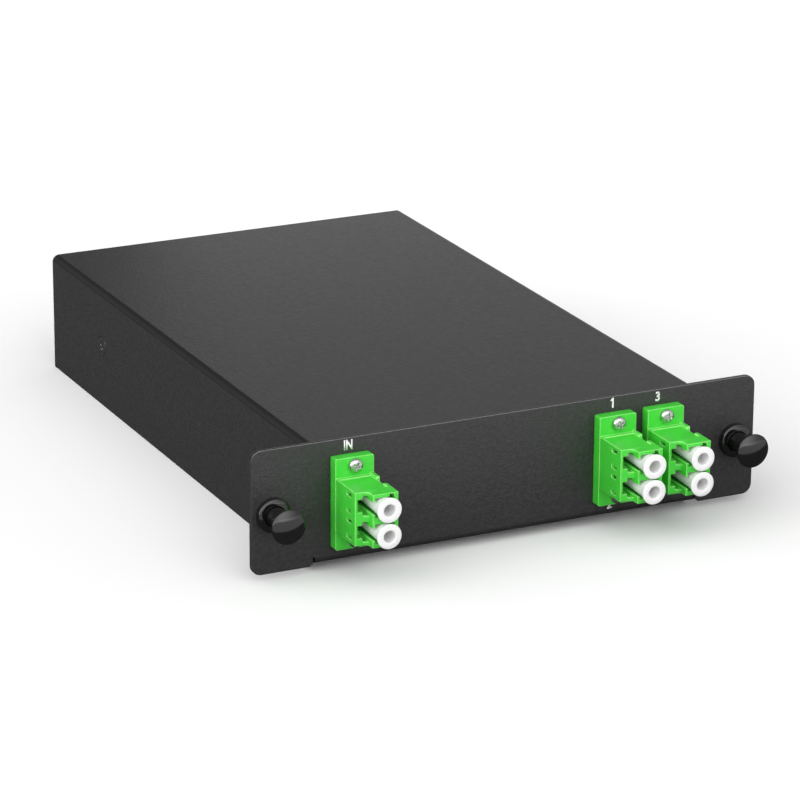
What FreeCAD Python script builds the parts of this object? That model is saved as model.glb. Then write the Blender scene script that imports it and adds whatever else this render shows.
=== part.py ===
import FreeCAD, Part
import math
import os

# Plug-in splitter cassette: a folded steel tray and cover, three duplex adapters with dust
# caps, two push-pull latches, and the splitter module with its fibre leads inside.
# Frame: the origin is the middle of the panel's rear face, which seats on the rack, +X along
# the panel, +Y to the rear, +Z up. Millimetres.

V = FreeCAD.Vector
overcut = 1.0
near = 0.01

# Tray: panel, floor and rear wall folded from one sheet
trayGauge = 1.2
trayBend = 1.8
panelWidth = 130.0
panelHeight = 29.8
panelCorner = 2.5
floorUnder = -14.6
boxDepth = 161.0
foldRelief = 0.55
earChamfer = 0.9
tabWidth = 12.0
tabRelief = 0.8
frontTabY = 17.0
tabHeight = 19.0

# Cover: top and two sides folded from one sheet
coverGauge = 1.0
coverFold = 1.8
coverWidth = 100.4
coverTop = 13.7
coverFoot = -16.75
coverNoseLength = 5.0
sheetGap = 0.05

# Cover screws, countersunk
coverScrewY = 126.9
coverScrewZ = -0.9
coverScrewHeadR = 2.5
coverScrewShankR = 1.2
coverScrewHead = 1.3
coverScrewLength = 5.0
coverScrewGap = 0.05
burrWall = 0.7
burrHeight = 1.2

# Share of a screw head's radius or height that its cross recess takes
recessReach = 0.58
recessWidth = 0.25
recessDepth = 0.7

# Push-pull latches: a split grommet snapped into the panel, and the plunger drawn out of it
latchInset = 5.25
latchZ = -0.6
grommetNeckR = 3.0
grommetFlangeR = 4.1
grommetFlange = 1.9
grommetBevel = 0.2
grommetSnapR = 3.3
grommetSnap = 0.8
grommetLegR = 2.9
grommetLegEnd = 5.6
grommetReach = 6.2
grommetTipR = 2.7
grommetBoreR = 2.5
grommetSlot = 0.7
panelHoleGap = 0.1
plungerGap = 0.1
plungerHeadR = 4.15
plungerHead = 0.7
plungerDome = 0.55
plungerEdge = 0.2
plungerPull = 6.9
plungerWaistR = 1.9
plungerWaist = 2.0
plungerTip = 2.0

# Duplex adapters: the two outer ones by their margin from the box's sides, and their pitch
inputMargin = 3.85
outputMargin = 4.85
adapterPitch = 12.7
adapterZ = 0.15
adapterHalfWidth = 4.7
adapterHalfHeight = 6.35
frontPortLength = 15.7
rearPortLength = 12.9
flangeHalfWidth = 4.8
flangeHeight = 22.0
flangeThick = 2.7
flangeCorner = 0.5
adapterScrewSpacing = 18.0
cutoutGap = 0.12
portPitch = 6.25
portX = 1.4
portHalf = 2.4
webFront = 2.4
webRear = 1.0
wallLeft = 0.6
latchSetback = 2.8
stepX = -1.6
stepRadius = 1.2
latchSlotHalf = 1.5
lugWidth = 1.25
lugDepth = 2.0
catchDepth = 2.4
cornerNotch = 0.55
cornerNotchWidth = 1.1
cornerNotchDepth = 1.6
cornerNotchInset = 0.12
clipNotch = 0.85
clipNotchStart = 6.0
clipNotchEnd = 9.5
ribHeight = 0.35
ribEnd = 5.9
pocketDepth = 0.3
pocketStart = 3.4
pocketMargin = 3.8

# Alignment sleeves and their holders, centred on the adapter's middle plane
sleeveMiddle = 1.4
sleeveHalf = 3.25
sleeveR = 0.8
sleeveBoreR = 0.65
sleeveSlit = 0.3
sleeveGap = 0.05
holderR = 1.45
holderHalf = 4.2
holderLip = 0.7
holderMouthR = 0.72

# Adapter screws and nuts
screwR = 0.98
screwHoleR = 1.1
screwHeadR = 1.7
screwHead = 1.3
screwHeadEdge = 0.6
screwBeyondNut = 0.5
nutFlats = 4.0
nutThick = 1.6
nutGap = 0.04

# Dust caps
capInner = 3.1
capFront = 18.3
capTailR = 2.0
capNeckR = 2.33
capNeck = 15.8
capRimR = 3.02
capEdge = 0.15
capHolderGap = 0.05
capSocket = 6.4
capWall = 1.2
capMouthR = 1.5
capDraft = 0.25

# Inner plugs
plugHalf = 2.25
plugFront = 1.1
plugEnd = 11.0
plugGap = 0.1
plugNose = 3.4
leverWidth = 2.4
leverThick = 0.9
leverFront = 2.2
leverRoot = 1.2
leverSplay = 0.3
leverTipDepth = 14.0
shoulderHalf = 2.1
shoulderLength = 2.0
plugCollarR = 1.9
plugCollar = 2.0
plugBoot = 15.0
plugBootNeck = 1.8
plugBootTailR = 0.9
ferruleR = 0.62
ferruleTipGap = 0.05
ferruleChamfer = 0.2

# Splitter module on its foam pad
moduleX = -30.0
moduleStart = 75.0
moduleLength = 50.0
moduleWidth = 7.0
moduleHeight = 4.0
moduleEdge = 0.5
padThick = 0.5
padMargin = 0.5
inputBoot = 8.0
inputBootR = 1.6
outputBoot = 7.0
outputBootHeight = 2.6
outputTailHeight = 1.4
bootTailR = 0.8

# Fibre leads, held all the way between the module and the plugs
leadR = 0.45
leadPitch = 1.6
leadStraight = 0.5
rearLeadGap = 2.0
inBend = 20.0
inBendFront = 13.0
inBendRear = 15.0
climbBend = 60.0
climbStart = 110.0
climbEnd = 50.0

# Combs and clip that hold the leads
combWall = 0.6
combThick = 3.0
combGap = 0.05
combRise = 0.9
rearCombX = 0.0
sideCombY = 120.0
clipGap = 0.5

panelFront = -trayGauge
floorTop = floorUnder + trayGauge
trayHalf = coverWidth / 2 - coverGauge - sheetGap
moduleBase = floorTop + padThick
leadZ = moduleBase + moduleHeight / 2
inputBootStart = moduleStart - inputBoot
outputBootEnd = moduleStart + moduleLength + outputBoot
latchXs = {"left": latchInset - panelWidth / 2, "right": panelWidth / 2 - latchInset}
outputX = trayHalf - outputMargin - adapterHalfWidth
adapterXs = {"in": inputMargin + adapterHalfWidth - trayHalf, "12": outputX - adapterPitch, "34": outputX}
frontOutputs = {"1": ("12", 1), "2": ("12", -1), "3": ("34", 1), "4": ("34", -1)}
plugs = {"in": ("in", 1), **frontOutputs}
ports = {"spare": ("in", -1), **plugs}
outerLane = (len(frontOutputs) - 1) * leadPitch
leadBend = boxDepth - trayGauge - rearLeadGap - outputBootEnd - leadStraight - outerLane


def block(x0, x1, y0, y1, z0, z1):
    return Part.makeBox(x1 - x0, y1 - y0, z1 - z0, V(x0, y0, z0))


def rod(radius, x, z, y0, y1):
    return Part.makeCylinder(radius, y1 - y0, V(x, y0, z), V(0, 1, 0))


def hole(radius, x, z, y0, y1):
    return rod(radius, x, z, y0 - overcut, y1 + overcut)


def prism(points, along):
    return Part.Face(Part.makePolygon(points + points[:1])).extrude(along)


def xzPoints(y, pairs):
    return [V(x, y, z) for x, z in pairs]


def yzPoints(x, pairs):
    return [V(x, y, z) for y, z in pairs]


def rectangle(x, z, halfWide, halfTall):
    return [(x + a * halfWide, z + b * halfTall) for a, b in ((-1, -1), (1, -1), (1, 1), (-1, 1))]


# Places by their depth in front of or behind the adapters' weld plane, the panel's front face
def ahead(depth):
    return panelFront - depth


def behind(depth):
    return panelFront + depth


# Straight runs through the points, joined by an arc of each given radius
def roundedPath(points, radii):
    edges = []
    start = points[0]
    for before, corner, after, radius in zip(points, points[1:], points[2:], radii):
        arriving = (corner - before).normalize()
        leaving = (after - corner).normalize()
        half = arriving.getAngle(leaving) / 2
        inward = (leaving - arriving).normalize()
        centre = corner + inward * (radius / math.cos(half))
        arcStart = corner - arriving * (radius * math.tan(half))
        arcEnd = corner + leaving * (radius * math.tan(half))
        edges.append(Part.LineSegment(start, arcStart).toShape())
        edges.append(Part.Arc(arcStart, centre - inward * radius, arcEnd).toShape())
        start = arcEnd
    edges.append(Part.LineSegment(start, points[-1]).toShape())
    return edges


# A folded strip: its outer and inner faces are rounded paths a sheet apart
def foldedStrip(outer, inner, bend, gauge, width):
    edges = roundedPath(outer, [bend] * (len(outer) - 2))
    edges += roundedPath(inner, [bend - gauge] * (len(inner) - 2))
    for end in (0, -1):
        edges.append(Part.LineSegment(outer[end], inner[end]).toShape())
    return Part.Face(Part.Wire(Part.__sortEdges__(edges))).extrude(width)


# A turned piece about the Y direction; a step of four numbers is an arc through its first pair
def turned(steps, x, z):
    def place(radius, y):
        return V(x + radius, y, z)
    edges = []
    here = place(*steps[0])
    for step in steps[1:] + [steps[0]]:
        end = place(*step[-2:])
        if len(step) == 4:
            edges.append(Part.Arc(here, place(*step[:2]), end).toShape())
        else:
            edges.append(Part.LineSegment(here, end).toShape())
        here = end
    return Part.Face(Part.Wire(edges)).revolve(V(x, 0, z), V(0, 1, 0), 360)


# Middle point of a domed head's arc: half the reach, and the drop from the crown there
def domeMiddle(reach, rise):
    radius = (reach ** 2 + rise ** 2) / (2 * rise)
    return reach / 2, radius - math.sqrt(radius ** 2 - (reach / 2) ** 2)


# Cross recess for a driver, cut in a head that faces the given direction
def crossRecess(centre, direction, headR, head):
    across = V(0, 0, 1)
    side = direction.cross(across)
    top = centre + direction * overcut
    slots = []
    for first, second in ((side, across), (across, side)):
        reach = first * (headR * recessReach)
        width = second * (headR * recessWidth / 2)
        corners = [top - reach - width, top + reach - width, top + reach + width, top - reach + width]
        slots.append(prism(corners, direction * -(head * recessDepth + overcut)))
    return slots[0].fuse(slots[1])


def thicknessEdges(sheet, gauge, x):
    found = [edge for edge in sheet.Edges if abs(edge.Length - gauge) < near]
    return [edge for edge in found if abs(abs(edge.CenterOfMass.x) - x) < near]


def makeTray():
    half = panelWidth / 2
    top = panelHeight / 2
    foldTop = floorUnder + trayBend
    inner = trayHalf + foldRelief
    right = [(inner, foldTop), (inner, earChamfer - top), (inner + earChamfer, -top), (half, -top)]
    right.append((half, top))
    left = [(-x, z) for x, z in reversed(right)]
    panel = prism(xzPoints(panelFront, right + left), V(0, trayGauge, 0))
    panel = panel.makeFillet(panelCorner, thicknessEdges(panel, trayGauge, half))

    rearTop = coverTop - coverGauge - sheetGap
    rearInner = boxDepth - trayGauge
    lap = foldTop + trayGauge
    outer = [(panelFront, lap), (panelFront, floorUnder), (boxDepth, floorUnder), (boxDepth, rearTop)]
    inside = [(0, lap), (0, floorTop), (rearInner, floorTop), (rearInner, rearTop)]
    strip = foldedStrip(
        yzPoints(-trayHalf, outer), yzPoints(-trayHalf, inside), trayBend, trayGauge, V(2 * trayHalf, 0, 0))
    corners = [edge for edge in thicknessEdges(strip, trayGauge, trayHalf) if edge.CenterOfMass.z > 0]
    strip = strip.makeFillet(coverFold - coverGauge, corners)
    for side in (-1, 1):
        for y in (frontTabY, coverScrewY):
            strip = strip.cut(tabCut(side, y)).fuse(makeTab(side, y))
    tray = panel.fuse(strip)

    for side in (-1, 1):
        tray = tray.fuse(makeBurr(side)).cut(burrHole(side))
    for x in latchXs.values():
        tray = tray.cut(hole(grommetNeckR + panelHoleGap, x, latchZ, panelFront, 0))
    wide = adapterHalfWidth + cutoutGap
    tall = adapterHalfHeight + cutoutGap
    for x in adapterXs.values():
        front = panelFront - overcut
        tray = tray.cut(block(x - wide, x + wide, front, overcut, adapterZ - tall, adapterZ + tall))
        for z in adapterScrewZs():
            tray = tray.cut(hole(screwHoleR, x, z, panelFront, 0))
    return tray.removeSplitter()


# Room in the floor's edge for an upright tab and the slits beside its fold
def tabCut(side, y):
    reach = tabWidth / 2 + tabRelief
    xs = sorted((side * (trayHalf - trayBend - tabRelief), side * (trayHalf + overcut)))
    return block(xs[0], xs[1], y - reach, y + reach, floorUnder - overcut, floorTop + overcut)


# An upright tab folded from the floor, standing inside the cover's side
def makeTab(side, y):
    start = y - tabWidth / 2
    root = side * (trayHalf - trayBend - tabRelief)
    outerX = side * trayHalf
    innerX = side * (trayHalf - trayGauge)
    top = floorUnder + tabHeight
    outer = xzPoints(start, [(root, floorUnder), (outerX, floorUnder), (outerX, top)])
    inner = xzPoints(start, [(root, floorTop), (innerX, floorTop), (innerX, top)])
    return foldedStrip(outer, inner, trayBend, trayGauge, V(0, tabWidth, 0))


# A cylinder into the box from the given distance off its middle, at a cover screw
def screwRod(side, radius, x, length):
    return Part.makeCylinder(radius, length, V(side * x, coverScrewY, coverScrewZ), V(-side, 0, 0))


# Drawn collar round the screw hole, on the inner face of a rear tab
def makeBurr(side):
    radius = coverScrewShankR + coverScrewGap + burrWall
    return screwRod(side, radius, trayHalf - trayGauge / 2, trayGauge / 2 + burrHeight)


def burrHole(side):
    radius = coverScrewShankR + coverScrewGap
    length = trayGauge + burrHeight + 2 * overcut
    return screwRod(side, radius, trayHalf + overcut, length).fuse(coverSink(side))


# The countersink through the cover's side and into the tab behind it
def coverSink(side):
    wide = coverScrewHeadR + coverScrewGap
    narrow = coverScrewShankR + coverScrewGap
    start = V(side * coverWidth / 2, coverScrewY, coverScrewZ)
    return Part.makeCone(wide, narrow, coverScrewHead, start, V(-side, 0, 0))


def makeCover():
    wide = coverWidth / 2
    thin = wide - coverGauge
    under = coverTop - coverGauge
    outer = xzPoints(sheetGap, [(-wide, coverFoot), (-wide, coverTop), (wide, coverTop), (wide, coverFoot)])
    inner = xzPoints(sheetGap, [(-thin, coverFoot), (-thin, under), (thin, under), (thin, coverFoot)])
    cover = foldedStrip(outer, inner, coverFold, coverGauge, V(0, boxDepth - sheetGap, 0))
    below = coverFoot - overcut
    nose = [(0, floorUnder), (coverNoseLength, coverFoot), (coverNoseLength, below), (0, below)]
    cover = cover.cut(prism(yzPoints(-wide - overcut, nose), V(coverWidth + 2 * overcut, 0, 0)))
    for side in (-1, 1):
        shank = screwRod(side, coverScrewShankR + coverScrewGap, wide + overcut, 2 * overcut + coverGauge)
        cover = cover.cut(shank.fuse(coverSink(side)))
    return cover


def makeCoverScrew(side):
    out = V(side, 0, 0)
    face = V(side * coverWidth / 2, coverScrewY, coverScrewZ)
    head = Part.makeCone(coverScrewHeadR, coverScrewShankR, coverScrewHead, face, out * -1)
    shank = screwRod(side, coverScrewShankR, coverWidth / 2, coverScrewLength)
    recess = crossRecess(face, out, coverScrewHeadR, coverScrewHead)
    return head.fuse(shank).cut(recess).removeSplitter()


# Flange in front of the panel, and a neck, snap bead and four legs behind it
def makeGrommet(x):
    front = ahead(grommetFlange)
    body = turned([
        (grommetBoreR, front), (grommetFlangeR - grommetBevel, front),
        (grommetFlangeR, front + grommetBevel), (grommetFlangeR, panelFront), (grommetNeckR, panelFront),
        (grommetNeckR, panelHoleGap), (grommetSnapR, panelHoleGap), (grommetLegR, grommetSnap),
        (grommetLegR, grommetLegEnd), (grommetTipR, grommetReach), (grommetBoreR, grommetReach)], x, latchZ)
    half = grommetSlot / 2
    start = panelFront / 2
    end = grommetReach + overcut
    reach = grommetSnapR + overcut
    body = body.cut(block(x - half, x + half, start, end, latchZ - reach, latchZ + reach))
    return body.cut(block(x - reach, x + reach, start, end, latchZ - half, latchZ + half))


# The plunger is drawn out, so its head stands clear of the grommet
def makePlunger(x):
    headBack = ahead(grommetFlange) - plungerPull
    headFront = headBack - plungerHead
    crown = headFront - plungerDome
    domeR = plungerHeadR - plungerEdge
    middleR, drop = domeMiddle(domeR, plungerDome)
    shaft = grommetBoreR - plungerGap
    taper = shaft - plungerWaistR
    tip = grommetReach - grommetSlot
    waistEnd = tip - plungerTip
    waistStart = waistEnd - plungerWaist
    return turned([
        (0, crown), (middleR, crown + drop, domeR, headFront), (plungerHeadR, headFront + plungerEdge),
        (plungerHeadR, headBack), (shaft, headBack), (shaft, waistStart),
        (plungerWaistR, waistStart + taper), (plungerWaistR, waistEnd), (shaft, waistEnd + taper),
        (shaft, tip - taper), (plungerWaistR, tip), (0, tip)], x, latchZ)


def adapterScrewZs():
    return [adapterZ - adapterScrewSpacing / 2, adapterZ + adapterScrewSpacing / 2]


def lugBack(length):
    return length - latchSetback - lugDepth


# One half of an adapter, built outwards from the weld plane along +Y about its own centre
def portBlock(length, web, holderTip, flanged):
    wide = adapterHalfWidth
    tall = adapterHalfHeight
    ledge = length - latchSetback
    low = [V(x, y, -tall) for x, y in ((-wide, ledge), (stepX, ledge), (stepX, length))]
    low += [V(x, y, -tall) for x, y in ((wide, length), (wide, 0), (-wide, 0), (-wide, ledge))]
    edges = roundedPath(low[:3], [stepRadius])
    edges += [Part.LineSegment(a, b).toShape() for a, b in zip(low[2:], low[3:])]
    body = Part.Face(Part.Wire(Part.__sortEdges__(edges))).extrude(V(0, 0, 2 * tall))
    if flanged:
        body = trimHousing(body.fuse(makeFlange()), length)
    for up in (-1, 1):
        z = up * portPitch / 2
        body = body.cut(portCavity(length, web, z, up))
        body = body.fuse(rod(holderR, portX, z, web - overcut, holderTip))
        body = body.cut(rod(sleeveR + sleeveGap, portX, z, -overcut, holderTip - holderLip))
        body = body.cut(hole(holderMouthR, portX, z, 0, holderTip))
    return body.removeSplitter()


def makeFlange():
    tall = flangeHeight / 2
    flange = block(-flangeHalfWidth, flangeHalfWidth, 0, flangeThick, -tall, tall)
    flange = flange.makeFillet(flangeCorner, thicknessEdges(flange, flangeThick, flangeHalfWidth))
    for z in (-adapterScrewSpacing / 2, adapterScrewSpacing / 2):
        flange = flange.cut(hole(screwHoleR, 0, z, 0, flangeThick))
    return flange


# Shallow pocket, spring clip notch and short rib on the top and the bottom of the housing
def trimHousing(body, length):
    wide = adapterHalfWidth
    inner = wide - clipNotch
    low = adapterHalfHeight - pocketDepth
    high = adapterHalfHeight + overcut
    for up in (-1, 1):
        rib = sorted((up * low, up * (adapterHalfHeight + ribHeight)))
        pocket = sorted((up * low, up * high))
        notch = sorted((up * (adapterHalfHeight - clipNotch), up * high))
        body = body.cut(block(wallLeft - wide, inner, pocketStart, length - pocketMargin, *pocket))
        body = body.fuse(block(inner, wide, flangeThick - overcut, ribEnd, *rib))
        body = body.cut(block(inner, wide + overcut, clipNotchStart, clipNotchEnd, *notch))
    return body


# The opening of one port: the plug's square, its latch slot, and the catches behind two lugs
def portCavity(length, web, z, up):
    mouth = length + overcut
    left = wallLeft - adapterHalfWidth
    catchEnd = lugBack(length)
    catch = catchEnd - catchDepth
    low = z - portHalf
    high = z + portHalf
    cavity = block(portX - portHalf, portX + portHalf, web, mouth, low, high)
    cavity = cavity.fuse(block(left, portX, web, mouth, z - latchSlotHalf, z + latchSlotHalf))
    cavity = cavity.fuse(block(left + lugWidth, stepX, catch, mouth, low, high))
    for bottom, top in ((low, z - latchSlotHalf), (z + latchSlotHalf, high)):
        outside = -adapterHalfWidth - overcut
        cavity = cavity.fuse(block(outside, stepX, catch, catchEnd, bottom, top))
    notch = sorted((z + up * portHalf, z + up * (portHalf + cornerNotch)))
    right = portX + portHalf - cornerNotchInset
    return cavity.fuse(block(right - cornerNotchWidth, right, length - cornerNotchDepth, mouth, *notch))


def placeAdapterHalf(half, x, forward):
    if forward:
        half = half.mirror(V(0, 0, 0), V(0, 1, 0))
    half.translate(V(x, panelFront, adapterZ))
    return half


def makeSleeve(x, z):
    front = ahead(sleeveMiddle + sleeveHalf)
    back = ahead(sleeveMiddle - sleeveHalf)
    tube = rod(sleeveR, x, z, front, back).cut(hole(sleeveBoreR, x, z, front, back))
    slit = sleeveSlit / 2
    return tube.cut(block(x - slit, x + slit, front - overcut, back + overcut, z, z + sleeveR + overcut))


def makeAdapterScrew(x, z):
    seat = ahead(flangeThick)
    end = nutThick + screwBeyondNut
    top = seat - screwHead
    middleR, drop = domeMiddle(screwHeadR, screwHead - screwHeadEdge)
    screw = turned([
        (0, top), (middleR, top + drop, screwHeadR, seat - screwHeadEdge), (screwHeadR, seat),
        (screwR, seat), (screwR, end), (0, end)], x, z)
    return screw.cut(crossRecess(V(x, top, z), V(0, -1, 0), screwHeadR, screwHead))


def makeNut(x, z):
    radius = nutFlats / math.sqrt(3)
    angles = [math.radians(60 * turn) for turn in range(6)]
    corners = [(x + radius * math.cos(angle), z + radius * math.sin(angle)) for angle in angles]
    nut = prism(xzPoints(0, corners), V(0, nutThick, 0))
    return nut.cut(hole(screwR + nutGap, x, z, 0, nutThick))


# A dust cap: blind behind over the sleeve holder, hollow in front, flared to its rim
def makeCap(x, z):
    socketR = holderR + capHolderGap
    socketEnd = capInner + capSocket
    hollowEnd = socketEnd + capWall
    steps = [
        (0, socketEnd), (socketR, socketEnd), (socketR, capInner), (capTailR, capInner),
        (capNeckR, capNeck), (capRimR, capFront - capEdge), (capRimR - capEdge, capFront),
        (capMouthR, capFront), (capMouthR - capDraft, hollowEnd), (0, hollowEnd)]
    return turned([(radius, ahead(depth)) for radius, depth in steps], x, z)


# An inner plug: square body with a hollow nose, a collar, and a lever latch with its shoulders
def makePlug(centre, x, z):
    front = behind(plugFront)
    end = behind(plugEnd)
    body = block(x - plugHalf, x + plugHalf, front, end, z - plugHalf, z + plugHalf)
    body = body.fuse(rod(plugCollarR, x, z, end - overcut, end + plugCollar))
    root = x - plugHalf
    outer = centre - adapterHalfWidth + wallLeft + plugGap
    inner = outer + leverThick
    hook = lugBack(rearPortLength)
    rise = hook - shoulderLength
    lever = [
        (root, leverFront), (outer, rise), (outer, hook), (outer + leverSplay, leverTipDepth),
        (inner + leverSplay, leverTipDepth), (inner, hook), (inner, rise), (root, leverFront + leverRoot)]
    corners = [V(a, behind(depth), z - leverWidth / 2) for a, depth in lever]
    body = body.fuse(prism(corners, V(0, 0, leverWidth)))
    shoulders = (behind(rise - plugGap), behind(hook - plugGap))
    body = body.fuse(block(outer, inner, *shoulders, z - shoulderHalf, z + shoulderHalf))
    return body.cut(rod(holderR + plugGap, x, z, front - overcut, front + plugNose)).removeSplitter()


def makeFerrule(x, z):
    tip = ahead(sleeveMiddle) + ferruleTipGap
    end = behind(plugFront + plugNose)
    tipR = ferruleR - ferruleChamfer
    return turned([(0, tip), (tipR, tip), (ferruleR, tip + ferruleChamfer), (ferruleR, end), (0, end)], x, z)


def plugBootEnd():
    return behind(plugEnd + plugCollar + plugBoot)


def makePlugBoot(x, z):
    start = behind(plugEnd + plugCollar)
    end = plugBootEnd()
    neck = start + plugBootNeck
    return turned([(0, start), (plugCollarR, start), (plugCollarR, neck), (plugBootTailR, end), (0, end)], x, z)


def makeModule():
    half = moduleWidth / 2
    end = moduleStart + moduleLength
    module = block(moduleX - half, moduleX + half, moduleStart, end, moduleBase, moduleBase + moduleHeight)
    edges = [edge for edge in module.Edges if abs(edge.Length - moduleLength) < near]
    return module.makeChamfer(moduleEdge, edges)


def makePad():
    half = moduleWidth / 2 - padMargin
    start = moduleStart + padMargin
    end = moduleStart + moduleLength - padMargin
    return block(moduleX - half, moduleX + half, start, end, floorTop, moduleBase)


def makeInputBoot():
    start = inputBootStart
    return turned([(0, start), (bootTailR, start), (inputBootR, moduleStart), (0, moduleStart)], moduleX, leadZ)


def makeOutputBoot():
    wide = moduleWidth / 2 - moduleEdge
    tail = outputLane(len(frontOutputs) - 1) + bootTailR
    front = rectangle(moduleX, leadZ, wide, outputBootHeight / 2)
    back = rectangle(moduleX, leadZ, tail, outputTailHeight / 2)
    sections = []
    for y, pairs in ((outputBootEnd - outputBoot, front), (outputBootEnd, back)):
        sections.append(Part.makePolygon(xzPoints(y, pairs + pairs[:1])))
    return Part.makeLoft(sections, True, True)


def portCentre(adapter, up):
    return adapterXs[adapter] + portX, adapterZ + up * portPitch / 2


# A round lead along a rounded path, with its volume compared with its section times its length
def makeLead(name, points, radii):
    path = Part.Wire(roundedPath(points, radii))
    section = Part.Wire(Part.makeCircle(leadR, points[0], points[1] - points[0]))
    lead = path.makePipeShell([section], True, False)
    ratio = lead.Volume / (math.pi * leadR ** 2 * path.Length)
    bends = f"radii {min(radii):.1f} to {max(radii):.1f}"
    print(f"lead {name}: length {path.Length:.1f}, {bends}, volume ratio {ratio:.4f}")
    return lead


def makeInputLead():
    x, z = portCentre("in", 1)
    start = plugBootEnd()
    end = inputBootStart
    points = [V(x, start, z), V(x, start + inBendFront, z)]
    points += [V(moduleX, end - inBendRear, leadZ), V(moduleX, end, leadZ)]
    return makeLead("in", points, [inBend, inBend])


# Output leads fan from the module in one row, turn across the rear and climb to their plugs
def outputLane(index):
    return leadPitch * (index - (len(frontOutputs) - 1) / 2)


def outputBend(index):
    return leadBend + leadPitch * index


def outputTop(index):
    return outputBootEnd + leadStraight + outputBend(index)


# The lead of a lower port stands one pitch outside the lead of the port above it
def outputSide(index):
    adapter, up = list(frontOutputs.values())[index]
    return portCentre(adapter, up)[0] + leadPitch * (up < 0)


def makeOutputLead(index):
    name = list(frontOutputs)[index]
    x, z = portCentre(*frontOutputs[name])
    start = moduleX - outputLane(index)
    top = outputTop(index)
    side = outputSide(index)
    points = [V(start, outputBootEnd, leadZ), V(start, top, leadZ), V(side, top, leadZ)]
    points += [V(side, climbStart, leadZ), V(x, climbEnd, z), V(x, plugBootEnd(), z)]
    return makeLead(name, points, [outputBend(index), outputBend(index), climbBend, climbBend])


# A comb whose open slots hold leads that run along Y, or along X
def makeComb(middle, centres, alongY):
    slot = leadR + combGap
    outside = slot + combWall
    half = combThick / 2

    def piece(reach, first, last, low, high):
        if alongY:
            return block(first, last, middle - reach, middle + reach, low, high)
        return block(middle - reach, middle + reach, first, last, low, high)

    top = leadZ + combRise
    comb = piece(half, centres[0] - outside, centres[-1] + outside, floorTop, top)
    for centre in centres:
        comb = comb.cut(piece(half + overcut, centre - slot, centre + slot, leadZ - slot, top + overcut))
    return comb


def build():
    parts = {"chassis_tray": makeTray(), "top_cover": makeCover()}
    parts["cover_screws"] = Part.makeCompound([makeCoverScrew(side) for side in (-1, 1)])
    for name, x in latchXs.items():
        parts[f"grommet_{name}"] = makeGrommet(x)
        parts[f"plunger_{name}"] = makePlunger(x)
    front = portBlock(frontPortLength, webFront, sleeveMiddle + holderHalf, True)
    rear = portBlock(rearPortLength, webRear, holderHalf - sleeveMiddle, False)
    for name, x in adapterXs.items():
        screws = [makeAdapterScrew(x, z) for z in adapterScrewZs()]
        nuts = [makeNut(x, z) for z in adapterScrewZs()]
        parts[f"adapter_{name}_front"] = placeAdapterHalf(front.copy(), x, True)
        parts[f"adapter_{name}_rear"] = placeAdapterHalf(rear.copy(), x, False)
        parts[f"adapter_{name}_screws"] = Part.makeCompound(screws)
        parts[f"adapter_{name}_nuts"] = Part.makeCompound(nuts)
    for name, port in ports.items():
        parts[f"sleeve_{name}"] = makeSleeve(*portCentre(*port))
        parts[f"dust_cap_{name}"] = makeCap(*portCentre(*port))
    for name, port in plugs.items():
        parts[f"plug_{name}_housing"] = makePlug(adapterXs[port[0]], *portCentre(*port))
        parts[f"plug_{name}_ferrule"] = makeFerrule(*portCentre(*port))
        parts[f"plug_{name}_boot"] = makePlugBoot(*portCentre(*port))
    parts["splitter_module"] = makeModule()
    parts["module_pad"] = makePad()
    parts["module_input_boot"] = makeInputBoot()
    parts["module_output_boot"] = makeOutputBoot()
    parts["lead_in"] = makeInputLead()
    lanes = range(len(frontOutputs))
    for index, name in enumerate(frontOutputs):
        parts[f"lead_{name}"] = makeOutputLead(index)
    parts["rear_comb"] = makeComb(rearCombX, [outputTop(index) for index in lanes], False)
    parts["side_comb"] = makeComb(sideCombY, [outputSide(index) for index in lanes], True)
    parts["input_clip"] = makeComb(inputBootStart - clipGap - combThick / 2, [moduleX], True)
    return parts


os.makedirs("parts", exist_ok=True)
for node, shape in build().items():
    shape.exportStep(f"parts/{node}.step")
    print(f"{node}: {len(shape.Solids)} solid, {shape.Volume:.1f} mm3, valid {shape.isValid()}")
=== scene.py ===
import math

import bmesh
import bpy
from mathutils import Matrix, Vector


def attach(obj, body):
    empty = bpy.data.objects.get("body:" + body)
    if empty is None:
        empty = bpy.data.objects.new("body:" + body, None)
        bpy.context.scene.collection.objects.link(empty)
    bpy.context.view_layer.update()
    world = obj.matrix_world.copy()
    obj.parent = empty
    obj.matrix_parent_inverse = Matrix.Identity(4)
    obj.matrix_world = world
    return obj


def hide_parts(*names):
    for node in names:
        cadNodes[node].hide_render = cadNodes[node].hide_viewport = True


# Plug-in splitter cassette: coated steel box, three duplex adapters with dust caps, two latches.
# Everything is in metres in the row frame: +X along the panel, +Y to the rear, +Z up.

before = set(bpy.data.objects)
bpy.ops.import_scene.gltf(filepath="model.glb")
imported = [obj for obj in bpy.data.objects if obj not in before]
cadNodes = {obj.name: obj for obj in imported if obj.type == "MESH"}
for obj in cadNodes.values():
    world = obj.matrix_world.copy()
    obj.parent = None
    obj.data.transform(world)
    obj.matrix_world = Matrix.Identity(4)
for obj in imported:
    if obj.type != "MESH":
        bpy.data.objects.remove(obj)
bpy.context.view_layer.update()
adapters = ("in", "12", "34")
usedPorts = ("in", "1", "2", "3", "4")
print("loaded", len(cadNodes), "solids from the frame")


def mm(value):
    return value / 1000


def perMetre(size):  # texture scale for a pattern whose size is given in millimetres
    return 1000 / size


def linearColour(hexText):
    channels = []
    for place in (0, 2, 4):
        part = int(hexText[place:place + 2], 16) / 255
        channels.append(part / 12.92 if part <= 0.04045 else ((part + 0.055) / 1.055) ** 2.4)
    return (*channels, 1.0)


def deselectAll():
    if bpy.context.object and bpy.context.object.mode != "OBJECT":
        bpy.ops.object.mode_set(mode="OBJECT")
    bpy.ops.object.select_all(action="DESELECT")


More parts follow.
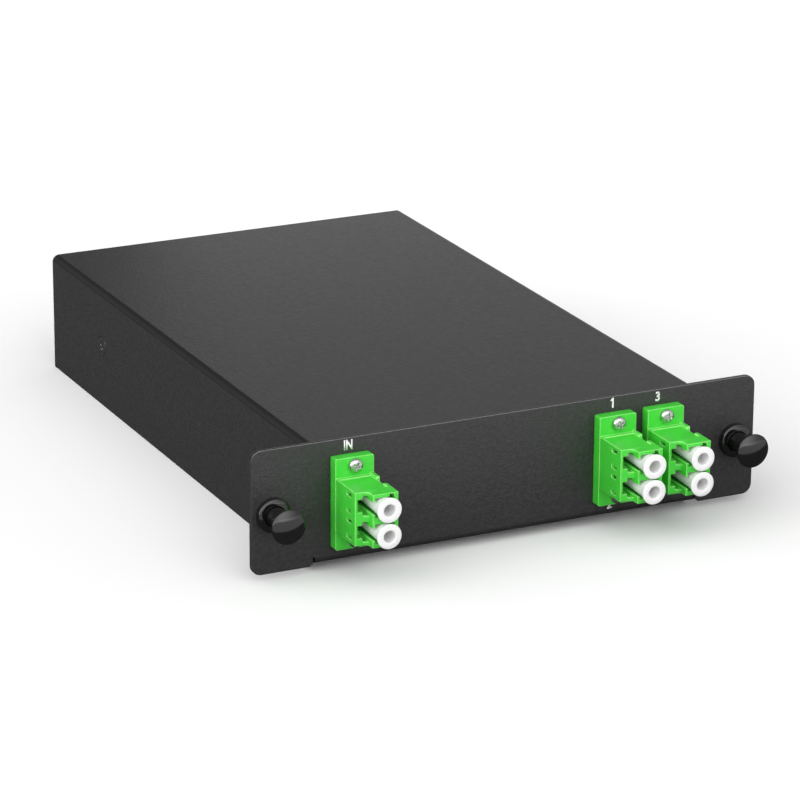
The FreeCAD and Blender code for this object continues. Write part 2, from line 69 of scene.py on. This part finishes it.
def takeHold(piece):  # make it the only selected object, and the active one
    deselectAll()
    piece.select_set(True)
    bpy.context.view_layer.objects.active = piece


# Materials

def addNode(tree, kind, inputs=None, **settings):
    node = tree.nodes.new(kind)
    for name, value in settings.items():
        setattr(node, name, value)
    for name, value in (inputs or {}).items():
        if isinstance(value, bpy.types.NodeSocket):
            tree.links.new(value, node.inputs[name])
        else:
            node.inputs[name].default_value = value
    return node


# What all finishes share: how their noise breaks up, and the values of it between which the
# tones, the gloss, the painted shade of folds and the painted highlight of edges come in
finishing = {
    "cloud": {"Detail": 3.0, "Roughness": 0.6}, "grain": {"Detail": 2.0, "Roughness": 0.55},
    "tones": (0.12, 0.40), "gloss": (0.3, 0.7), "eased": 0.05, "easedSamples": 6,
    "fold": (0.1, 0.26), "edge": (0.998, 0.9), "above": (0.3, 0.7)}


def between(name):  # where a Map Range starts and ends
    return {"From Min": finishing[name][0], "From Max": finishing[name][1]}


# How far a face slants between a side and the top, as it does on the cover's folds: the mask of the shade
# painted there
def findFoldShade(tree):
    facing = addNode(tree, "ShaderNodeNewGeometry").outputs["Normal"]
    parts = addNode(tree, "ShaderNodeSeparateXYZ", {"Vector": facing}).outputs
    slant = addNode(tree, "ShaderNodeMath", {0: parts["X"], 1: parts["Z"]}, operation="MULTIPLY")
    size = addNode(tree, "ShaderNodeMath", {0: slant.outputs["Value"]}, operation="ABSOLUTE")
    return addNode(tree, "ShaderNodeMapRange", {
        "Value": size.outputs["Value"], **between("fold")}).outputs["Result"]


# How near an edge is, where a highlight is painted: the eased normal there leaves the face's own
def findEdgeHighlight(tree, eased, values):
    flat = addNode(tree, "ShaderNodeNewGeometry").outputs["True Normal"]
    along = addNode(tree, "ShaderNodeVectorMath", {0: eased, 1: flat}, operation="DOT_PRODUCT")
    share = addNode(tree, "ShaderNodeMapRange", {
        "Value": along.outputs["Value"], **between("edge"), "To Max": values["edgeShare"]}).outputs["Result"]
    if not values.get("edgeAbove"):
        return share
    height = addNode(tree, "ShaderNodeSeparateXYZ", {"Vector": eased}).outputs["Z"]
    above = addNode(tree, "ShaderNodeMapRange", {"Value": height, **between("above")}).outputs["Result"]
    return addNode(tree, "ShaderNodeMath", {0: share, 1: above}, operation="MULTIPLY").outputs["Value"]


# A finish of two close tones, uneven gloss and a fine relief, all sized in millimetres. The real
# grain of moulded plastic, plating and drawn steel is finer than a pixel, so it is drawn coarser
def makeFinish(values):
    material = bpy.data.materials.new(values["name"])
    material.use_nodes = True
    tree = material.node_tree
    tree.nodes.clear()
    place = addNode(tree, "ShaderNodeTexCoord").outputs["Object"]
    cloud = addNode(tree, "ShaderNodeTexNoise", {
        "Vector": place, "Scale": perMetre(values["cloudSize"]), **finishing["cloud"]}).outputs["Fac"]
    grain = addNode(tree, "ShaderNodeTexNoise", {
        "Vector": place, "Scale": perMetre(values["grainSize"]), **finishing["grain"]}).outputs["Fac"]
    both = addNode(tree, "ShaderNodeMath", {0: cloud, 1: grain}, operation="MULTIPLY").outputs["Value"]
    tone = addNode(tree, "ShaderNodeMapRange", {"Value": both, **between("tones")}).outputs["Result"]
    colour = addNode(tree, "ShaderNodeMix", {
        "Factor": tone, "A": linearColour(values["dark"]), "B": linearColour(values["light"])},
        data_type="RGBA").outputs["Result"]
    smooth, rough = values["roughness"]
    gloss = addNode(tree, "ShaderNodeMapRange", {
        "Value": cloud, **between("gloss"), "To Min": smooth, "To Max": rough}).outputs["Result"]
    eased = addNode(tree, "ShaderNodeBevel", {
        "Radius": mm(values.get("eased", finishing["eased"]))},
        samples=finishing["easedSamples"]).outputs["Normal"]
    relief = addNode(tree, "ShaderNodeBump", {
        "Height": grain, "Strength": values["reliefStrength"], "Distance": mm(values["relief"]),
        "Normal": eased}).outputs["Normal"]
    if "fold" in values:  # painted shade: a darker tone where a face slants between side and top, as on the folds
        colour = addNode(tree, "ShaderNodeMix", {
            "Factor": findFoldShade(tree), "A": colour, "B": linearColour(values["fold"])},
            data_type="RGBA").outputs["Result"]
    if "edge" in values:  # a painted highlight: a paler tone on the edges, on all of them or only where they look up
        colour = addNode(tree, "ShaderNodeMix", {
            "Factor": findEdgeHighlight(tree, eased, values), "A": colour, "B": linearColour(values["edge"])},
            data_type="RGBA").outputs["Result"]
    shader = addNode(tree, "ShaderNodeBsdfPrincipled", {
        "Base Color": colour, "Roughness": gloss, "Normal": relief, **values.get("shader", {})})
    addNode(tree, "ShaderNodeOutputMaterial", {"Surface": shader.outputs["BSDF"]})
    return material


# Polyester powder coat on sheet steel: satin black with an orange peel that breaks up
# reflections, drawn about twice as coarse as real so that it shows
# A painted highlight lightens its edges that look up
# Painted shade darkens its folds
powderCoat = makeFinish({
    "name": "Black powder coat", "dark": "282828", "light": "353535", "roughness": (0.36, 0.46),
    "cloudSize": 1.2, "grainSize": 0.5, "relief": 0.09, "reliefStrength": 1.0, "eased": 0.25,
    "fold": "050505", "edge": "a8a8a8", "edgeShare": 1.0, "edgeAbove": True, "shader": {"IOR": 1.5}})

# Moulded nylon of the latches: polished tool, so it mirrors the softbox with a little waviness
blackNylon = makeFinish({
    "name": "Black moulded nylon", "dark": "0d0d0d", "light": "131313", "roughness": (0.1, 0.14),
    "cloudSize": 3.0, "grainSize": 0.5, "relief": 0.01, "reliefStrength": 0.1, "shader": {"IOR": 1.62}})

# Moulded PBT of the adapters: bright green, light glows a little through its thin edges, and a painted
# highlight lightens all its edges
greenPlastic = makeFinish({
    "name": "Green moulded PBT", "dark": "3ecb36", "light": "4bd542", "roughness": (0.3, 0.38),
    "cloudSize": 4.0, "grainSize": 0.25, "relief": 0.01, "reliefStrength": 0.2, "eased": 0.3,
    "edge": "a4f58c", "edgeShare": 1.0,
    "shader": {
        "IOR": 1.5, "Subsurface Weight": 0.12, "Subsurface Scale": mm(0.6),
        "Subsurface Radius": (0.4, 1.0, 0.4)}})

# Soft polyethylene of the dust caps: milky, waxy, light wanders inside it
milkyPolythene = makeFinish({
    "name": "Milky polyethylene", "dark": "eaeaea", "light": "f2f2f1", "roughness": (0.34, 0.42),
    "cloudSize": 5.0, "grainSize": 0.3, "relief": 0.01, "reliefStrength": 0.15,
    "shader": {
        "IOR": 1.51, "Subsurface Weight": 0.3, "Subsurface Scale": mm(0.6),
        "Subsurface Radius": (1.0, 1.0, 1.0)}})

# Nickel-plated steel of the adapter screws and nuts: bright, with faint tumbling marks
platedSteel = makeFinish({
    "name": "Nickel-plated steel", "dark": "bababa", "light": "dededc", "roughness": (0.06, 0.1),
    "cloudSize": 0.8, "grainSize": 0.12, "relief": 0.004, "reliefStrength": 0.2, "shader": {"Metallic": 1.0}})

# Black-zinc steel of the cover screws: dark, but still a metal where the light strikes it
blackZinc = makeFinish({
    "name": "Black zinc on steel", "dark": "7a7a7c", "light": "a0a0a2", "roughness": (0.2, 0.3),
    "cloudSize": 0.7, "grainSize": 0.12, "relief": 0.005, "reliefStrength": 0.25,
    "shader": {"Metallic": 1.0}})

# Ground zirconia of the sleeves and ferrules: dense, ivory white and very smooth
zirconia = makeFinish({
    "name": "Ground zirconia", "dark": "ebe8e0", "light": "f4f2ec", "roughness": (0.08, 0.14),
    "cloudSize": 1.5, "grainSize": 0.1, "relief": 0.001, "reliefStrength": 0.1,
    "shader": {"IOR": 2.1, "Subsurface Weight": 0.2, "Subsurface Scale": mm(0.3)}})

# Moulded rubber of the boots: matt, charcoal, with a dusty bloom
bootRubber = makeFinish({
    "name": "Charcoal boot rubber", "dark": "202122", "light": "333435", "roughness": (0.6, 0.75),
    "cloudSize": 1.0, "grainSize": 0.15, "relief": 0.01, "reliefStrength": 0.4, "shader": {"IOR": 1.52}})

# Stainless shell of the splitter module: satin, drawn tube
satinStainless = makeFinish({
    "name": "Satin stainless steel", "dark": "a9a9a7", "light": "bebebb", "roughness": (0.28, 0.36),
    "cloudSize": 2.0, "grainSize": 0.15, "relief": 0.004, "reliefStrength": 0.3, "shader": {"Metallic": 1.0}})

# Open-cell foam tape under the module: pale grey, pitted
foamTape = makeFinish({
    "name": "Grey foam tape", "dark": "8d8d8a", "light": "c3c3bf", "roughness": (0.85, 0.95),
    "cloudSize": 0.9, "grainSize": 0.4, "relief": 0.15, "reliefStrength": 0.7, "shader": {"IOR": 1.45}})

# PVC jacket of the leads: yellow, slightly waxy
yellowJacket = makeFinish({
    "name": "Yellow PVC jacket", "dark": "e0bd1c", "light": "f0cf2e", "roughness": (0.38, 0.5),
    "cloudSize": 2.0, "grainSize": 0.2, "relief": 0.006, "reliefStrength": 0.2,
    "shader": {"IOR": 1.53, "Subsurface Weight": 0.1, "Subsurface Scale": mm(0.4)}})

# Natural nylon of the combs and clip: cloudy ivory
naturalNylon = makeFinish({
    "name": "Natural nylon", "dark": "dedace", "light": "ebe8de", "roughness": (0.35, 0.45),
    "cloudSize": 2.0, "grainSize": 0.25, "relief": 0.008, "reliefStrength": 0.2,
    "shader": {"IOR": 1.53, "Subsurface Weight": 0.3, "Subsurface Scale": mm(0.8)}})

# Silk-screen ink of the port legends: flat opaque white, a hair proud of the coat
screenInk = makeFinish({
    "name": "White screen ink", "dark": "f0f0f0", "light": "fafafa", "roughness": (0.5, 0.6),
    "cloudSize": 1.0, "grainSize": 0.2, "relief": 0.005, "reliefStrength": 0.3, "shader": {"IOR": 1.5}})
print("finishes are ready")


# How meshes are worked: millimetres apart that count as one point, the slant in degrees that
# still counts as flat, the angles over which an edge is eased or stays sharp, the steps of an
# easing, and how squarely a face has to look along a direction to be picked
meshing = {"merge": 0.002, "flat": 1, "easeOver": 30, "sharp": 35, "segments": 2, "facing": 0.9}


# Edges eased by a bevel, then normals weighted so that flat faces stay flat up to the easing
def easeEdges(piece, values):
    takeHold(piece)
    ease = piece.modifiers.new("ease", "BEVEL")
    ease.width = mm(values["ease"])
    ease.segments = values.get("segments", meshing["segments"])
    ease.limit_method = "ANGLE"
    ease.angle_limit = math.radians(values.get("easeOver", meshing["easeOver"]))
    ease.use_clamp_overlap = False
    bpy.ops.object.modifier_apply(modifier=ease.name)
    bpy.ops.object.shade_smooth_by_angle(angle=math.radians(meshing["sharp"]))
    even = piece.modifiers.new("even", "WEIGHTED_NORMAL")
    even.keep_sharp = True
    bpy.ops.object.modifier_apply(modifier=even.name)


def mergeMesh(piece):
    takeHold(piece)
    bpy.ops.object.mode_set(mode="EDIT")
    bpy.ops.mesh.select_all(action="SELECT")
    bpy.ops.mesh.remove_doubles(threshold=mm(meshing["merge"]))
    bpy.ops.mesh.normals_make_consistent(inside=False)
    bpy.ops.object.mode_set(mode="OBJECT")


def settle(piece, body, slot, material, *nodes):
    piece.data.materials.clear()
    piece.data.materials.append(material)
    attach(piece, body)
    if nodes:
        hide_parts(*nodes)


# Sheet metal and housings, dressed: a merged copy with its edges eased. The tray's flat faces
# are joined first
dressed = {
    "chassis_tray": {
        "slot": "coated_steel", "material": powderCoat, "ending": "coated", "ease": 0.18, "flatten": True},
    "top_cover": {
        "slot": "coated_steel", "material": powderCoat, "ending": "coated", "ease": 0.18, "easeOver": 20}}
for adapter in adapters:
    dressed[f"adapter_{adapter}_front"] = {
        "slot": "adapter_plastic", "material": greenPlastic, "ending": "moulded", "ease": 0.05}


def dressNode(node, values):
    piece = bpy.data.objects.new(f"{node}_{values['ending']}", cadNodes[node].data.copy())
    bpy.context.scene.collection.objects.link(piece)
    mergeMesh(piece)
    if values.get("flatten"):
        bpy.ops.object.mode_set(mode="EDIT")
        bpy.ops.mesh.select_all(action="SELECT")
        bpy.ops.mesh.dissolve_limited(angle_limit=math.radians(meshing["flat"]))
        bpy.ops.object.mode_set(mode="OBJECT")
    easeEdges(piece, values)
    settle(piece, "case", values["slot"], values["material"], node)


for node, values in dressed.items():
    dressNode(node, values)
print("sheet metal and housings are dressed")


# A line drawn from step to step in the XY plane, in millimetres, left in edit mode and selected
def drawLine(name, steps):
    deselectAll()
    here = steps[0]
    bpy.ops.mesh.primitive_plane_add(size=mm(1), location=(mm(here[0]), mm(here[1]), 0))
    piece = bpy.context.object
    piece.name = name
    bpy.ops.object.transform_apply(location=True)
    bpy.ops.object.mode_set(mode="EDIT")
    bpy.ops.mesh.select_mode(type="VERT")
    bpy.ops.mesh.select_all(action="SELECT")
    bpy.ops.mesh.merge(type="CENTER")
    for step in steps[1:]:
        move = (mm(step[0] - here[0]), mm(step[1] - here[1]), 0)
        bpy.ops.mesh.extrude_region_move(TRANSFORM_OT_translate={"value": move})
        here = step
    bpy.ops.mesh.select_all(action="SELECT")
    return piece


# Turned pieces: each step is a radius and a place along Y, and the line is spun about its axis
def makeTurned(name, values):
    piece = drawLine(name, values["steps"])
    bpy.ops.mesh.spin(steps=values["turns"], angle=math.tau, center=(0, 0, 0), axis=(0, 1, 0))
    bpy.ops.object.mode_set(mode="OBJECT")
    mergeMesh(piece)
    return piece


# Points of a dome from its crown to its reach
def domeSteps(crown, reach, rise, count):
    radius = (reach ** 2 + rise ** 2) / (2 * rise)
    out = [reach * index / count for index in range(count + 1)]
    return [(r, crown + radius - math.sqrt(radius ** 2 - r ** 2)) for r in out]


# A copy with its own mesh, turned by degrees about X, Y and Z, and then put in its place
def placeCopy(piece, name, place, turn=(0, 0, 0)):
    twin = bpy.data.objects.new(name, piece.data.copy())
    bpy.context.scene.collection.objects.link(twin)
    takeHold(twin)
    twin.location = [mm(v) for v in place]
    twin.rotation_euler = [math.radians(v) for v in turn]
    bpy.ops.object.transform_apply(location=True, rotation=True)
    return twin


def joinPieces(pieces):
    takeHold(pieces[0])
    for other in pieces[1:]:
        other.select_set(True)
    bpy.ops.object.join()
    return pieces[0]


def discard(piece):
    mesh = piece.data
    bpy.data.objects.remove(piece)
    bpy.data.meshes.remove(mesh)


def addBlock(size, place):
    deselectAll()
    bpy.ops.mesh.primitive_cube_add(size=1, location=place)
    block = bpy.context.object
    block.scale = size
    bpy.ops.object.transform_apply(location=True, scale=True)
    return block


def cutAway(piece, tool):
    takeHold(piece)
    cut = piece.modifiers.new("cut", "BOOLEAN")
    cut.object = tool
    cut.operation = "DIFFERENCE"
    cut.solver = "EXACT"
    bpy.ops.object.modifier_apply(modifier=cut.name)
    discard(tool)


def selectFaces(piece, test):  # the faces whose middle and normal pass the test
    grid = bmesh.from_edit_mesh(piece.data)
    for face in grid.faces:
        face.select_set(test(face.calc_center_median(), face.normal))
    bmesh.update_edit_mesh(piece.data)


# A driver's cross: a square peg grown four ways, narrowed to its foot, and cut out of the head
def cutCross(piece, values):
    half = mm(values["crossWidth"] / 2)
    deep = mm(values["crossDepth"])
    top = mm(values["crossTop"])
    foot = values["crossFoot"]
    reach = mm(values["crossReach"]) - half
    facing = meshing["facing"]
    peg = addBlock((2 * half, 2 * deep, 2 * half), (0, top, 0))
    bpy.ops.object.mode_set(mode="EDIT")
    bpy.ops.mesh.select_mode(type="FACE")
    for direction in (Vector((1, 0, 0)), Vector((-1, 0, 0)), Vector((0, 0, 1)), Vector((0, 0, -1))):
        aside = direction.cross(Vector((0, 1, 0)))
        selectFaces(
            peg, lambda middle, normal: normal.dot(direction) > facing and abs(middle.dot(aside)) < half / 2)
        bpy.ops.mesh.extrude_region_move(TRANSFORM_OT_translate={"value": direction * reach})
    selectFaces(peg, lambda middle, normal: middle.y > top + deep / 2 and normal.y > facing)
    bpy.ops.transform.resize(value=(foot, 1, foot), center_override=(0, top + deep, 0))
    bpy.ops.object.mode_set(mode="OBJECT")
    mergeMesh(peg)
    cutAway(piece, peg)


# Dust cap: blind over the sleeve holder behind, open in front, flared to its lip
cap = {
    "turns": 56, "ease": 0.1, "segments": 3,
    "places": {"in": (-39.2, 3.275), "spare": (-39.2, -2.975), "1": (28.3, 3.275), "2": (28.3, -2.975),
               "3": (41.0, 3.275), "4": (41.0, -2.975)},
    "steps": [(0, -10.7), (1.5, -10.7), (1.5, -4.3), (2.0, -4.3), (2.33, -17.0), (2.66, -18.1), (3.0, -19.25),
              (2.93, -19.42), (2.78, -19.49), (1.5, -19.49), (1.42, -19.3), (1.25, -11.9), (0, -11.9)]}

model = makeTurned("cap_model", cap)
easeEdges(model, cap)
for port, (x, z) in cap["places"].items():
    piece = placeCopy(model, f"dust_cap_{port}_moulded", (x, 0, z))
    settle(piece, f"dust_cap_{port}", "cap_plastic", milkyPolythene, f"dust_cap_{port}")
discard(model)
print("dust caps are turned")

latches = {"places": {"left": -59.75, "right": 59.75}, "z": -0.6}  # the axes of the two latches

# Plunger: domed head on a thin rim, drawn out on its shaft, with a waist that the legs grip
plunger = {
    "turns": 72, "ease": 0.1, "segments": 3,
    "steps": domeSteps(-11.25, 3.95, 0.8, 8) + [
        (4.15, -10.3), (4.15, -10.0), (2.4, -10.0), (2.4, 1.5), (1.9, 2.0), (1.9, 3.5), (2.4, 4.0),
        (2.4, 5.0), (1.9, 5.5), (0, 5.5)]}

model = makeTurned("plunger_model", plunger)
easeEdges(model, plunger)
for side, x in latches["places"].items():
    piece = placeCopy(model, f"plunger_{side}_moulded", (x, 0, latches["z"]))
    settle(piece, f"plunger_{side}", "latch_plastic", blackNylon, f"plunger_{side}")
discard(model)

# Grommet: a thin flange in front, a snap bead behind the panel, and four legs parted by slots
grommet = {
    "turns": 72, "ease": 0.08, "slot": 0.7, "slotStart": -0.6, "slotEnd": 7.2, "reach": 8.6,
    "steps": [(2.5, -3.0), (2.6, -3.1), (3.7, -2.82), (3.95, -2.72), (4.1, -2.5), (4.1, -1.2), (3.0, -1.2),
              (3.0, 0.1), (3.3, 0.1), (2.9, 0.8), (2.9, 5.6), (2.7, 6.2), (2.5, 6.2), (2.5, -3.0)]}


def cutSlots(piece, values):
    middle = mm((values["slotStart"] + values["slotEnd"]) / 2)
    long = mm(values["slotEnd"] - values["slotStart"])
    for wide, tall in ((values["slot"], values["reach"]), (values["reach"], values["slot"])):
        cutAway(piece, addBlock((mm(wide), long, mm(tall)), (0, middle, 0)))


model = makeTurned("grommet_model", grommet)
cutSlots(model, grommet)
easeEdges(model, grommet)
for side, x in latches["places"].items():
    piece = placeCopy(model, f"grommet_{side}_moulded", (x, 0, latches["z"]))
    settle(piece, "case", "latch_plastic", blackNylon, f"grommet_{side}")
discard(model)
print("latches are turned")

# Adapter screw: pan head with a driver's cross
adapterScrew = {
    "turns": 40, "ease": 0.04, "crossWidth": 0.62, "crossReach": 1.25, "crossDepth": 0.95, "crossFoot": 0.5,
    "crossTop": -5.2, "places": {"in": -40.6, "12": 26.9, "34": 39.6}, "zs": (-8.85, 9.15),
    "turned": {"in": (12, 28), "12": (40, 63), "34": (75, 20)},
    "steps": [(0, -5.2), (0.7, -5.19), (1.2, -5.13), (1.48, -5.0), (1.64, -4.78), (1.7, -4.45), (1.7, -3.9),
              (0.98, -3.9), (0.98, 2.1), (0, 2.1)]}

model = makeTurned("adapter_screw_model", adapterScrew)
cutCross(model, adapterScrew)
easeEdges(model, adapterScrew)
for adapter, x in adapterScrew["places"].items():
    pair = []
    for z, turn in zip(adapterScrew["zs"], adapterScrew["turned"][adapter]):
        pair.append(placeCopy(model, f"adapter_{adapter}_screws_turned", (x, 0, z), (0, turn, 0)))
    settle(joinPieces(pair), "case", "bright_screw", platedSteel, f"adapter_{adapter}_screws")
discard(model)

# Cover screw: countersunk head with a driver's cross, turned to face outwards on each side
coverScrew = {
    "turns": 48, "ease": 0.05, "crossWidth": 0.62, "crossReach": 1.45, "crossDepth": 0.9, "crossFoot": 0.5,
    "crossTop": 0.0, "face": 50.2, "y": 126.9, "z": -0.9, "turned": 20,
    "steps": [(0, 0), (2.5, 0), (1.2, 1.3), (1.2, 5.0), (0, 5.0)]}

model = makeTurned("cover_screw_model", coverScrew)
cutCross(model, coverScrew)
easeEdges(model, coverScrew)
pair = []
for way in (-1, 1):
    place = (way * coverScrew["face"], coverScrew["y"], coverScrew["z"])
    pair.append(placeCopy(model, "cover_screws_turned", place, (0, coverScrew["turned"], way * 90)))
settle(joinPieces(pair), "case", "black_screw", blackZinc, "cover_screws")
discard(model)
print("screws are turned")


# Port legends, screened on the panel's front face. The font's figure 1 is a bare bar, so that
# one is drawn: a bar with a flag
legends = {
    "height": 2.45, "thickness": 0.02, "front": -1.2, "topBase": 12.1, "bottomBase": -12.8,
    "merge": 0.001, "curveSteps": 6,
    "narrow": {"IN": 0.7, "1": 1.0, "2": 0.88, "3": 0.88, "4": 0.88}, "bold": 0.035,
    "one": [(0.36, 0), (0.36, 2.45), (0.02, 2.45), (-0.44, 2.0), (-0.44, 1.64), (-0.04, 1.9), (-0.04, 0)],
    "top": {"IN": -41.0, "1": 26.7, "3": 38.8}, "bottom": {"2": 26.6, "4": 38.8}}


def makeLegend(word, centre, base):
    if word == "1":
        label = drawLine("legend_1", legends["one"])
        bpy.ops.mesh.edge_face_add()
        bpy.ops.object.mode_set(mode="OBJECT")
    else:
        deselectAll()
        bpy.ops.object.text_add()
        label = bpy.context.object
        label.name = f"legend_{word}"
        label.data.body = word
        label.data.align_x = "CENTER"
        label.data.offset = legends["bold"]
        label.data.resolution_u = legends["curveSteps"]
        bpy.ops.object.convert(target="MESH")
        label = bpy.context.object
    tall = max(v.co.y for v in label.data.vertices) - min(v.co.y for v in label.data.vertices)
    size = mm(legends["height"]) / tall
    label.scale = (size * legends["narrow"][word], size, size)
    label.rotation_euler = (math.radians(90), 0, 0)
    label.location = (mm(centre), mm(legends["front"]), mm(base))
    bpy.ops.object.transform_apply(location=True, rotation=True, scale=True)
    bpy.ops.object.mode_set(mode="EDIT")
    bpy.ops.mesh.select_all(action="SELECT")
    bpy.ops.mesh.remove_doubles(threshold=mm(legends["merge"]))
    bpy.ops.mesh.extrude_region_move(TRANSFORM_OT_translate={"value": (0, -mm(legends["thickness"]), 0)})
    bpy.ops.mesh.select_all(action="SELECT")
    bpy.ops.mesh.normals_make_consistent(inside=False)
    bpy.ops.object.mode_set(mode="OBJECT")
    label.data.materials.clear()
    label.data.materials.append(screenInk)
    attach(label, "case")


for row in ("top", "bottom"):
    for word, centre in legends[row].items():
        makeLegend(word, centre, legends[f"{row}Base"])
print("legends are screened")


# Finishes of the solids that stay as they are, inside the box and behind the panel
insideFinishes = {
    "splitter_module": satinStainless, "module_pad": foamTape, "module_input_boot": bootRubber,
    "module_output_boot": bootRubber, "rear_comb": naturalNylon, "side_comb": naturalNylon,
    "input_clip": naturalNylon}
for adapter in adapters:
    insideFinishes[f"adapter_{adapter}_rear"] = greenPlastic
    insideFinishes[f"adapter_{adapter}_nuts"] = platedSteel
for port in cap["places"]:
    insideFinishes[f"sleeve_{port}"] = zirconia
for port in usedPorts:
    insideFinishes[f"plug_{port}_housing"] = greenPlastic
    insideFinishes[f"plug_{port}_ferrule"] = zirconia
    insideFinishes[f"plug_{port}_boot"] = bootRubber
    insideFinishes[f"lead_{port}"] = yellowJacket
for node, material in insideFinishes.items():
    cadNodes[node].data.materials.clear()
    cadNodes[node].data.materials.append(material)
print("inner solids have their finishes")


# Studio: pale floor, soft light all round, a low card in front and a softbox behind. The floor
# and the world are white to the camera, and greyer and uneven to what they light
studio = {
    "floorHeight": -16.75, "floorSize": 6000, "floorShown": "ffffff", "floorBounce": "606060",
    "backdrop": 1.0,
    "glows": {
        "overhead": {"toward": (0, 0, 1), "spread": 3.0, "strength": 0.34},
        "frontHigh": {"toward": (0, -0.71, 0.71), "spread": 6.0, "strength": 0.78},
        "front": {"toward": (0, -0.98, 0.2), "spread": 6.0, "strength": 1.9},
        "left": {"toward": (-0.95, -0.1, 0.3), "spread": 4.0, "strength": 2.95},
        "right": {"toward": (0.95, -0.1, 0.3), "spread": 4.0, "strength": 0.6}},
    "lamps": {
        "card": {"size": (1000, 500), "place": (183, -305, 19), "turn": (172, 0, -4), "power": 1.15},
        "rear": {"size": (280, 120), "place": (190, 330, 45), "turn": (-87.4, 0, -6.9), "power": 0.075}}}


def makeFloor():
    deselectAll()
    bpy.ops.mesh.primitive_plane_add(size=mm(studio["floorSize"]), location=(0, 0, mm(studio["floorHeight"])))
    floor = bpy.context.object
    floor.name = "studio_floor"
    bpy.ops.object.transform_apply(location=True)
    material = bpy.data.materials.new("Matt white paper")  # seamless paper: flat, takes a soft shadow
    material.use_nodes = True
    tree = material.node_tree
    tree.nodes.clear()
    seen = addNode(tree, "ShaderNodeLightPath").outputs["Is Camera Ray"]
    tone = addNode(tree, "ShaderNodeMix", {
        "Factor": seen, "A": linearColour(studio["floorBounce"]), "B": linearColour(studio["floorShown"])},
        data_type="RGBA").outputs["Result"]
    paper = addNode(tree, "ShaderNodeBsdfDiffuse", {"Color": tone})
    addNode(tree, "ShaderNodeOutputMaterial", {"Surface": paper.outputs["BSDF"]})
    floor.data.materials.append(material)


def makeLamp(name, values):
    deselectAll()
    bpy.ops.object.light_add(
        type="AREA", location=[mm(v) for v in values["place"]],
        rotation=[math.radians(v) for v in values["turn"]])
    lamp = bpy.context.object
    lamp.name = name
    lamp.data.shape = "RECTANGLE"
    lamp.data.size = mm(values["size"][0])
    lamp.data.size_y = mm(values["size"][1])
    lamp.data.energy = values["power"]
    lamp.visible_camera = False


# The studio's light: soft glows, each strongest toward one direction
def makeWorld():
    world = bpy.data.worlds.new("studio")
    bpy.context.scene.world = world
    world.use_nodes = True
    tree = world.node_tree
    tree.nodes.clear()
    direction = addNode(tree, "ShaderNodeTexCoord").outputs["Generated"]
    light = 0.0
    for name, glow in studio["glows"].items():
        toward = addNode(tree, "ShaderNodeVectorMath", {
            0: direction, 1: Vector(glow["toward"]).normalized()}, operation="DOT_PRODUCT").outputs["Value"]
        apart = addNode(tree, "ShaderNodeMath", {
            0: toward, 1: glow["spread"], 2: -glow["spread"]}, operation="MULTIPLY_ADD").outputs["Value"]
        shape = addNode(tree, "ShaderNodeMath", {0: apart}, operation="EXPONENT").outputs["Value"]
        total = addNode(tree, "ShaderNodeMath", {
            0: shape, 1: glow["strength"], 2: light}, operation="MULTIPLY_ADD", name=name)
        light = total.outputs["Value"]
    path = addNode(tree, "ShaderNodeLightPath")
    strength = addNode(tree, "ShaderNodeMapRange", {
        "Value": path.outputs["Is Camera Ray"], "To Min": light, "To Max": studio["backdrop"]})
    shine = addNode(tree, "ShaderNodeBackground", {
        "Color": linearColour("ffffff"), "Strength": strength.outputs["Result"]})
    addNode(tree, "ShaderNodeOutputWorld", {"Surface": shine.outputs["Background"]})


makeFloor()
for name, values in studio["lamps"].items():
    makeLamp(name, values)
makeWorld()
print("studio is lit")

# The camera, fitted to the photograph by the adapters' standard sizes
camera = {
    "place": (-401.0, -775.35, 321.09), "turn": (70.80944, -0.31660, -25.60962), "lens": 180.98,
    "sensor": 36, "farthest": 20000}
deselectAll()
bpy.ops.object.camera_add(
    location=[mm(v) for v in camera["place"]], rotation=[math.radians(v) for v in camera["turn"]])
view = bpy.context.object
view.name = "camera"
view.data.sensor_width = camera["sensor"]
view.data.lens = camera["lens"]
view.data.clip_end = mm(camera["farthest"])
bpy.context.scene.camera = view
bpy.context.scene.view_settings.view_transform = "Standard"
